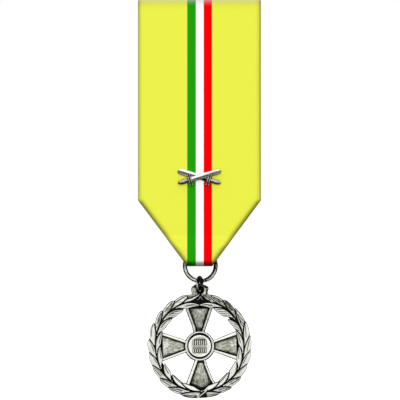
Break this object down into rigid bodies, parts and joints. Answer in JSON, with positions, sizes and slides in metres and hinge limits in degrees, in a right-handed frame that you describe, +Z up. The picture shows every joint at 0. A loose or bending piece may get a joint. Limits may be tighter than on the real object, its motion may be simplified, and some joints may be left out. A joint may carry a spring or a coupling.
{
  "type": "military service medal",
  "caption": "Laurel-wreath and cross pattee medal hung by two wire rings from a striped V-ended ribbon with crossed swords and a brooch behind.",
  "frame": {"origin": "centre of the rear face of the brooch plate sewn behind the ribbon's top", "axes": "+Z up along the hanging ribbon, -Y out of the medal's front, +X to the right of someone looking at the front"},
  "size_m": [0.037, 0.0073, 0.1195],
  "materials": {
    "ribbon_cloth": "ribbed woven rayon, lemon yellow with green, white and red centre stripes",
    "buckram": "sized stiffening cloth",
    "sewing_thread": "twisted cotton thread",
    "brooch_nickel": "nickel-plated, satin",
    "needle_steel": "drawn steel wire",
    "bright_silver": "silver-plated, polished, dark in the recesses",
    "device_brass": "plain sheet brass",
    "ring_nickel": "worn nickel-plated wire",
    "link_dark": "blackened wire, worn bright on one side",
    "antique_silver": "silver-plated and antiqued, black patina in the recesses"
  },
  "bodies": {
    "ribbon_and_brooch": {"ribbon": "ribbon_cloth", "ribbon_stiffener": "buckram", "seam_stitches": "sewing_thread", "brooch_plate": "brooch_nickel", "plate_threads": "sewing_thread", "hinge_bracket": "brooch_nickel", "hinge_rivet": "brooch_nickel", "brooch_catch": "brooch_nickel", "front_sword": "bright_silver", "rear_sword": "bright_silver", "device_prongs": "device_brass"},
    "needle": {"brooch_needle": "needle_steel"},
    "ring": {"suspension_ring": "ring_nickel"},
    "link": {"link_ring": "link_dark"},
    "medal": {"laurel_wreath": "antique_silver", "cross_pattee": "antique_silver", "centre_disc": "antique_silver", "centre_rivet": "antique_silver"}
  },
  "joints": [
    {"name": "needle_hinge", "type": "hinge", "parent": "ribbon_and_brooch", "child": "needle", "pos_m": [-0.0126, 0.00175, 0], "axis": [0, 0, 1], "range_deg": [0, 100]},
    {"name": "ring_rock", "type": "hinge", "parent": "ribbon_and_brooch", "child": "ring", "pos_m": [0, -0.00198, -0.0704], "axis": [1, 0, 0], "range_deg": [-15, 15]},
    {"name": "link_swing", "type": "hinge", "parent": "ring", "child": "link", "pos_m": [0, -0.00198, -0.07765], "axis": [1, 0, 0], "range_deg": [-75, 75]},
    {"name": "medal_swing", "type": "hinge", "parent": "link", "child": "medal", "pos_m": [0, -0.00198, -0.08021], "axis": [0, 1, 0], "range_deg": [-30, 30]}
  ]
}
